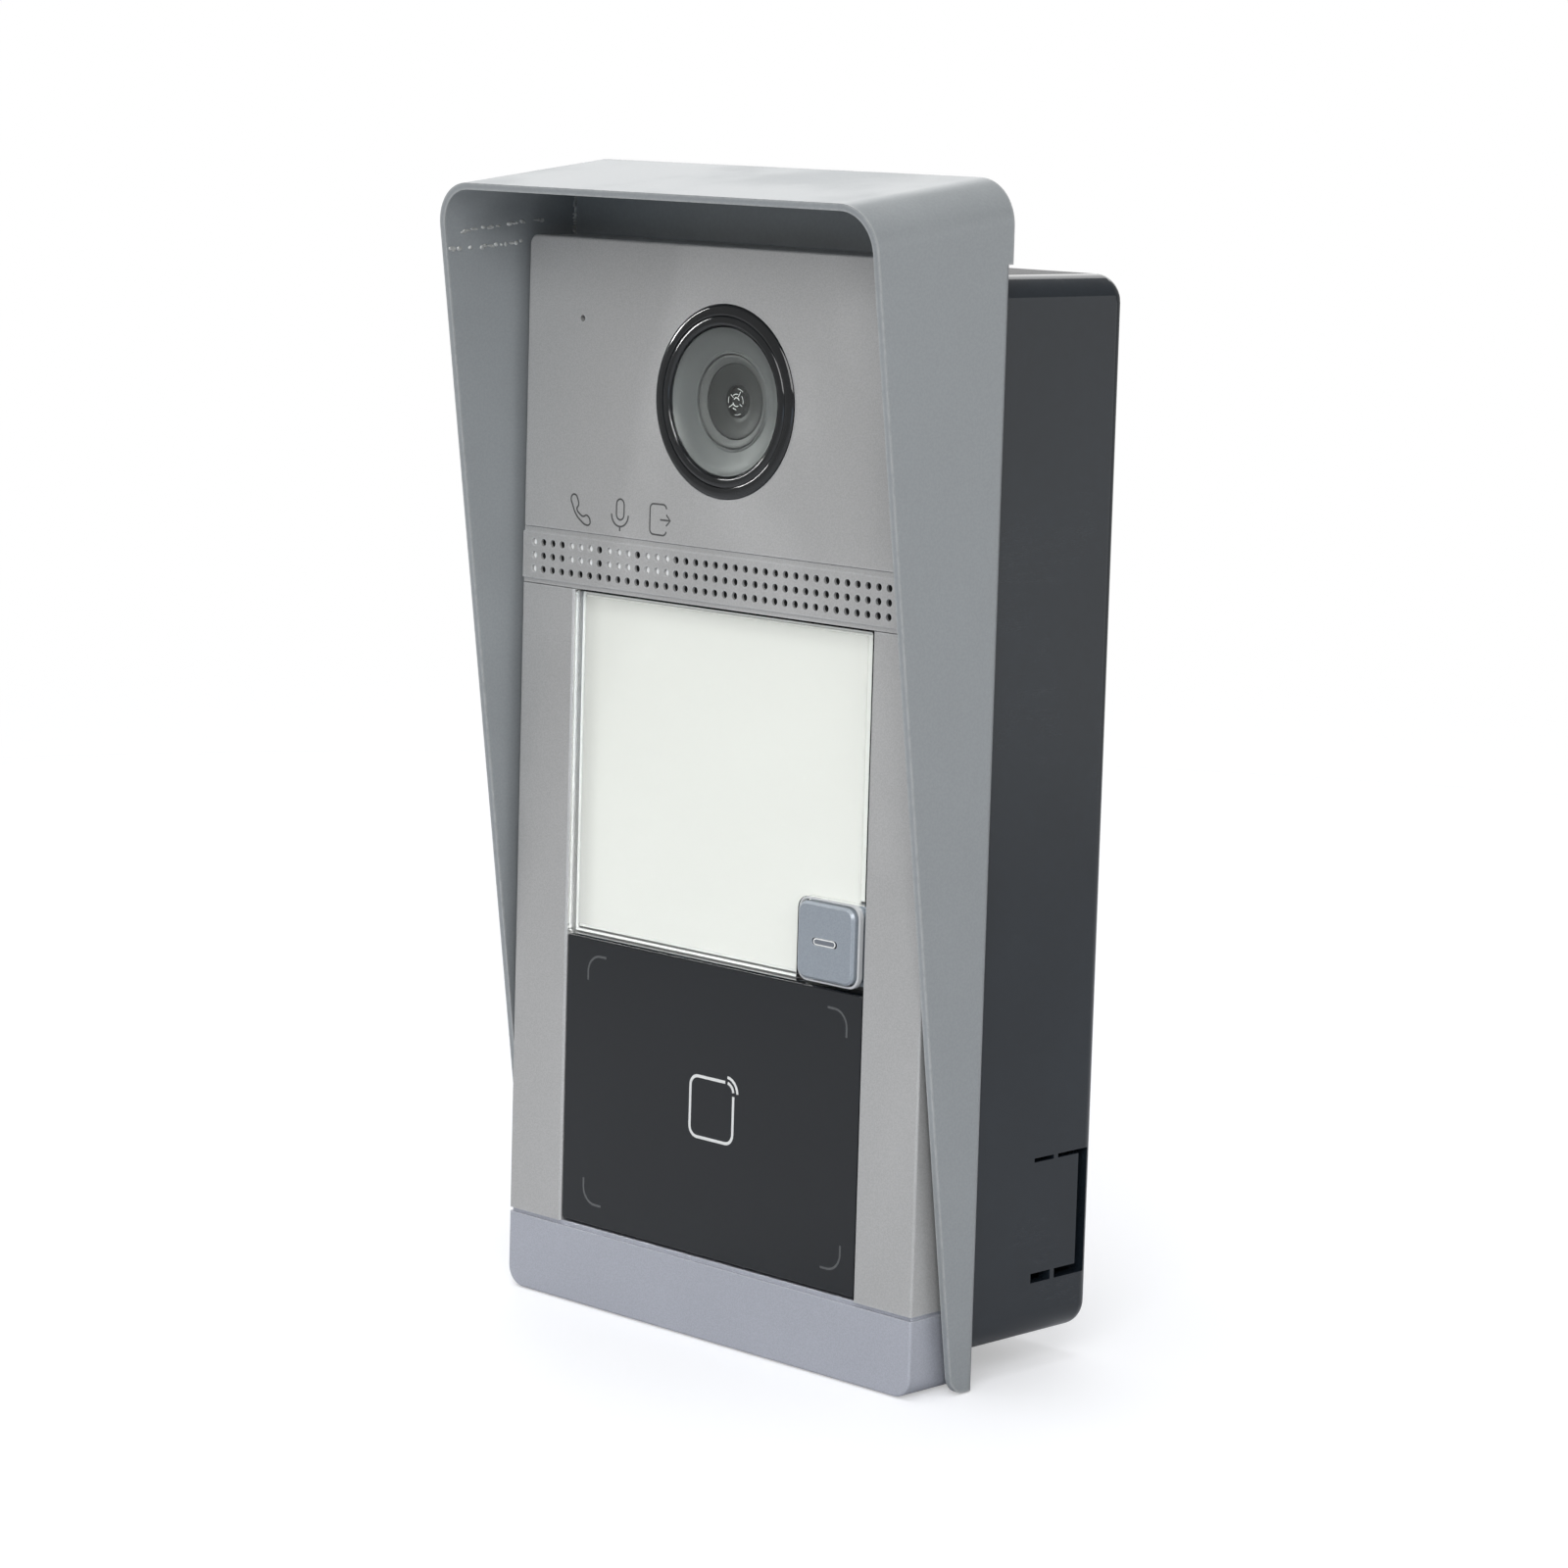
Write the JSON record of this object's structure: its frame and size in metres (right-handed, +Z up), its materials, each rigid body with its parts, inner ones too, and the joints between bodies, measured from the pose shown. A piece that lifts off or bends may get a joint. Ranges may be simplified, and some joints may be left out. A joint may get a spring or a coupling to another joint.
{
  "type": "video doorbell",
  "caption": "Video door station with a camera, call button, lit name window and card reader, under a sheet-metal rain hood and on a deep flush wall box.",
  "frame": {"origin": "centre of the wall box's flat rear face", "axes": "+X to the right seen from the front, +Y into the wall, +Z up; the front faces -Y"},
  "size_m": [0.0874, 0.0545, 0.1702],
  "materials": {
    "box_plastic": "moulded, glossy",
    "hood_paint": "fine powder coat",
    "station_paint": "satin paint",
    "bracket_steel": "zinc plated",
    "screw_steel": "zinc plated",
    "insert_brass": "turned",
    "carrier_plastic": "moulded",
    "seal_rubber": "matt",
    "bezel_black": "polished",
    "window_clear": "clear",
    "mask_grey": "moulded",
    "lens_black": "blackened",
    "lens_glass": "coated",
    "circuit_board": "solder mask",
    "chip_black": "moulded",
    "pipe_clear": "clear",
    "cover_clear": "clear, polished",
    "card_white": "white card",
    "guide_milky": "diffusing",
    "reader_black": "polished",
    "button_paint": "satin",
    "bar_translucent": "translucent",
    "speaker_black": "moulded",
    "cone_paper": "pressed",
    "magnet_iron": "plated",
    "membrane_black": "woven",
    "shield_tin": "tinned",
    "terminal_green": "moulded",
    "plunger_white": "moulded"
  },
  "bodies": {
    "door_station": {"wall_box": "box_plastic", "box_inserts": "insert_brass", "hood_body": "hood_paint", "hood_roof": "hood_paint", "mounting_bracket": "bracket_steel", "box_screws": "screw_steel", "lock_screw": "screw_steel", "front_carrier": "carrier_plastic", "top_plate": "station_paint", "grille_strip": "station_paint", "lower_frame": "station_paint", "bottom_cover": "station_paint", "rear_cover": "carrier_plastic", "cover_seal": "seal_rubber", "rear_cover_screws": "screw_steel", "camera_bezel": "bezel_black", "camera_window": "window_clear", "lens_mask": "mask_grey", "lens_barrel": "lens_black", "lens_retainer": "lens_black", "lens_element": "lens_glass", "camera_holder": "carrier_plastic", "sensor_board": "circuit_board", "image_sensor": "chip_black", "microphone_boot": "seal_rubber", "microphone": "shield_tin", "grille_membrane": "membrane_black", "speaker_frame": "speaker_black", "speaker_magnet": "magnet_iron", "speaker_cone": "cone_paper", "indicator_light_pipes": "pipe_clear", "name_cover": "cover_clear", "name_card": "card_white", "name_light_guide": "guide_milky", "reader_window": "reader_black", "reader_antenna": "circuit_board", "button_switch": "chip_black", "button_board": "circuit_board", "name_lights": "plunger_white", "indicator_board": "circuit_board", "main_board": "circuit_board", "processor_shield": "shield_tin", "terminal_block": "terminal_green", "terminal_screws": "screw_steel", "tamper_switch": "chip_black"},
    "button": {"call_button": "button_paint", "button_light_bar": "bar_translucent", "switch_plunger": "plunger_white"},
    "tamper_contact": {"tamper_plunger": "plunger_white"}
  },
  "joints": [
    {"name": "call_button_press", "type": "slide", "parent": "door_station", "child": "button", "axis": [0, 1, 0], "range_m": [0, 0.0009], "stiffness_N_per_m": 2500},
    {"name": "tamper_press", "type": "slide", "parent": "door_station", "child": "tamper_contact", "axis": [0, -1, 0], "range_m": [0, 0.0006], "stiffness_N_per_m": 400}
  ]
}
